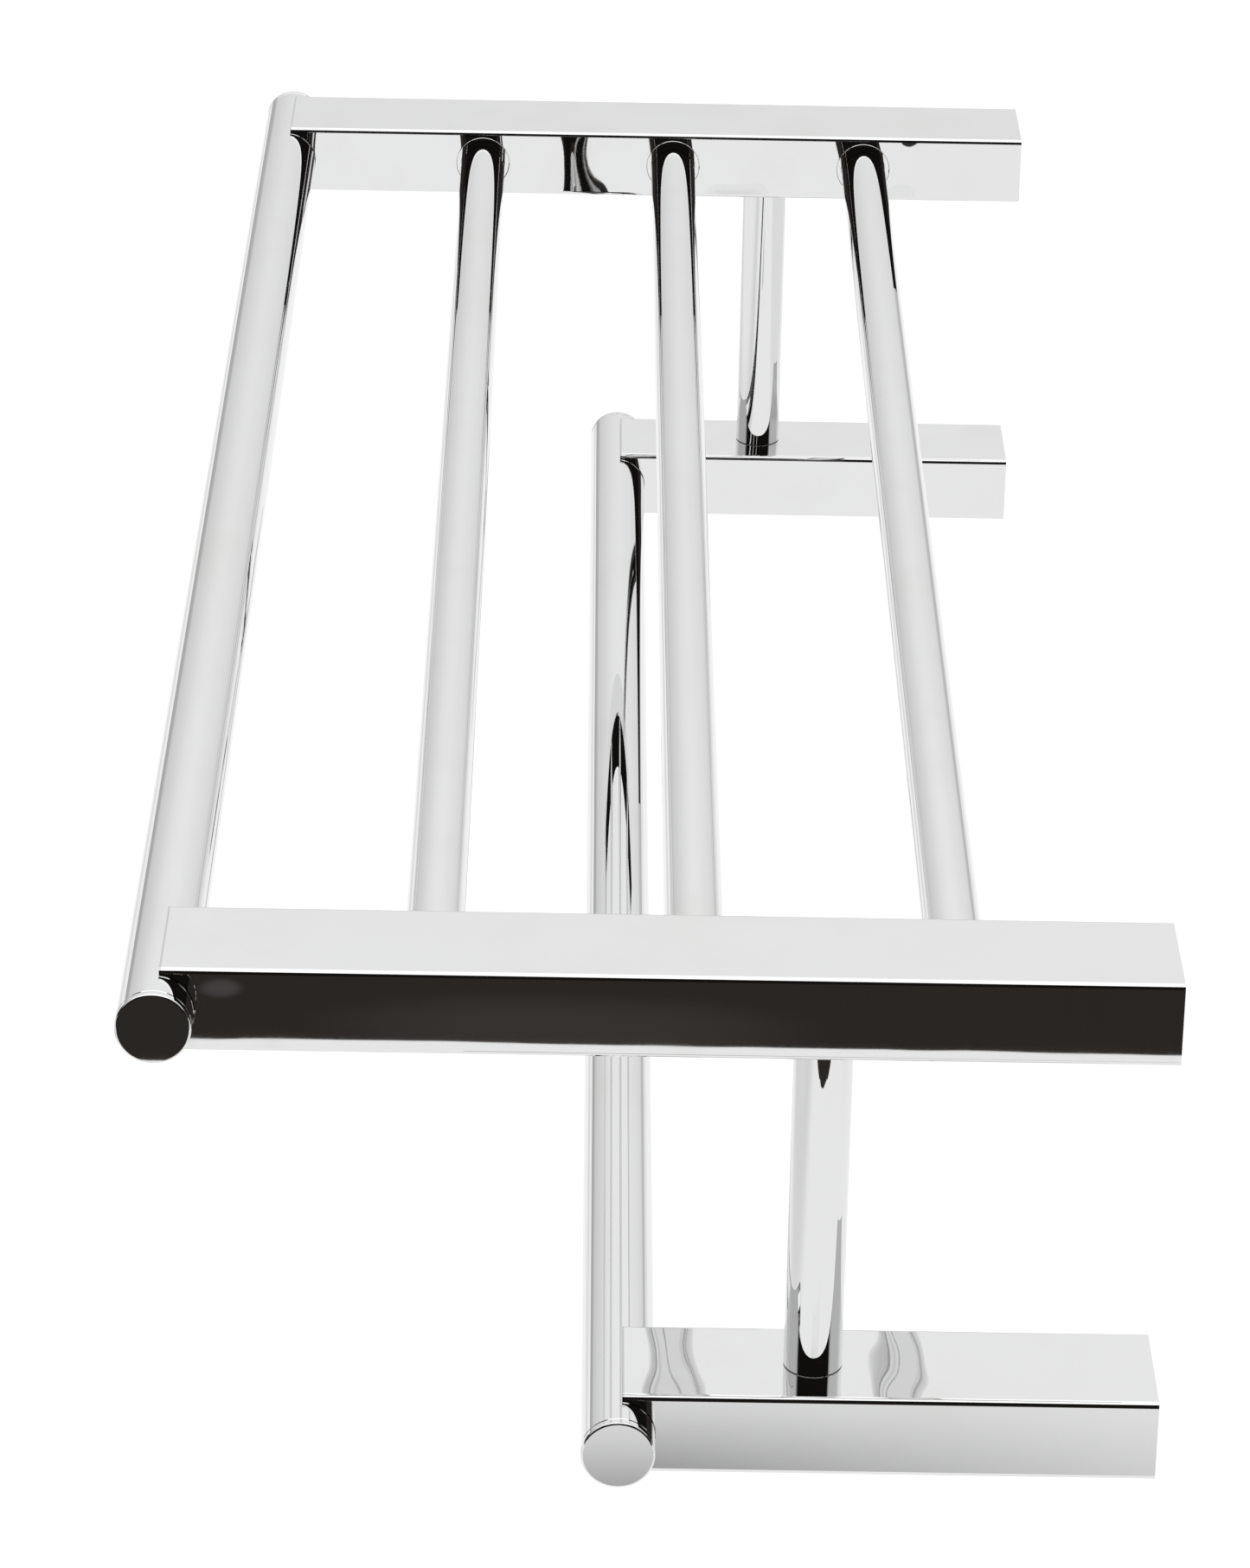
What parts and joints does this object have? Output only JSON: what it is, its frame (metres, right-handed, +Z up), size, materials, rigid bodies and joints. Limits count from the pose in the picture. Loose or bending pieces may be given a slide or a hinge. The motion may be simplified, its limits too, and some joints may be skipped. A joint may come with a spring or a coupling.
{
  "type": "wall-mounted towel rack",
  "caption": "Chrome wall rack with a shelf of round rods on two arms, a front rail, and a lower towel rail hung from posts.",
  "frame": {"origin": "middle of the four wall fixings, on the face of the wall", "axes": "+X along the rails to the right-hand end seen from the room, +Y into the wall, +Z up"},
  "size_m": [0.606, 0.222, 0.119],
  "materials": {
    "chrome_arm": "polished chrome plate on rectangular brass tube",
    "chrome_tube": "polished chrome plate on round brass tube",
    "chrome_cap": "polished chrome plate on a turned cap",
    "chrome_collar": "polished chrome plate on a turned ring",
    "raw_brass": "machined brass, unplated",
    "zinc_steel": "zinc-plated pressed steel",
    "screw_steel": "stainless steel"
  },
  "bodies": {
    "root": {"upper_front_rail": "chrome_tube", "upper_arm_left": "chrome_arm", "upper_rail_cap_left": "chrome_cap", "upper_nose_block_left": "raw_brass", "upper_rail_nut_left": "raw_brass", "upper_wall_bracket_left": "zinc_steel", "upper_arm_right": "chrome_arm", "upper_rail_cap_right": "chrome_cap", "upper_nose_block_right": "raw_brass", "upper_rail_nut_right": "raw_brass", "upper_wall_bracket_right": "zinc_steel", "lower_front_rail": "chrome_tube", "lower_arm_left": "chrome_arm", "lower_rail_cap_left": "chrome_cap", "lower_nose_block_left": "raw_brass", "lower_rail_nut_left": "raw_brass", "lower_wall_bracket_left": "zinc_steel", "lower_arm_right": "chrome_arm", "lower_rail_cap_right": "chrome_cap", "lower_nose_block_right": "raw_brass", "lower_rail_nut_right": "raw_brass", "lower_wall_bracket_right": "zinc_steel", "shelf_rod_front": "chrome_tube", "rod_collar_front_left": "chrome_collar", "rod_collar_front_right": "chrome_collar", "shelf_rod_middle": "chrome_tube", "rod_collar_middle_left": "chrome_collar", "rod_collar_middle_right": "chrome_collar", "shelf_rod_rear": "chrome_tube", "rod_collar_rear_left": "chrome_collar", "rod_collar_rear_right": "chrome_collar", "post_left": "chrome_tube", "post_nut_left": "raw_brass", "post_right": "chrome_tube", "post_nut_right": "raw_brass", "rail_screws": "screw_steel", "tie_screws": "screw_steel", "grub_screws": "screw_steel"}
  },
  "joints": []
}
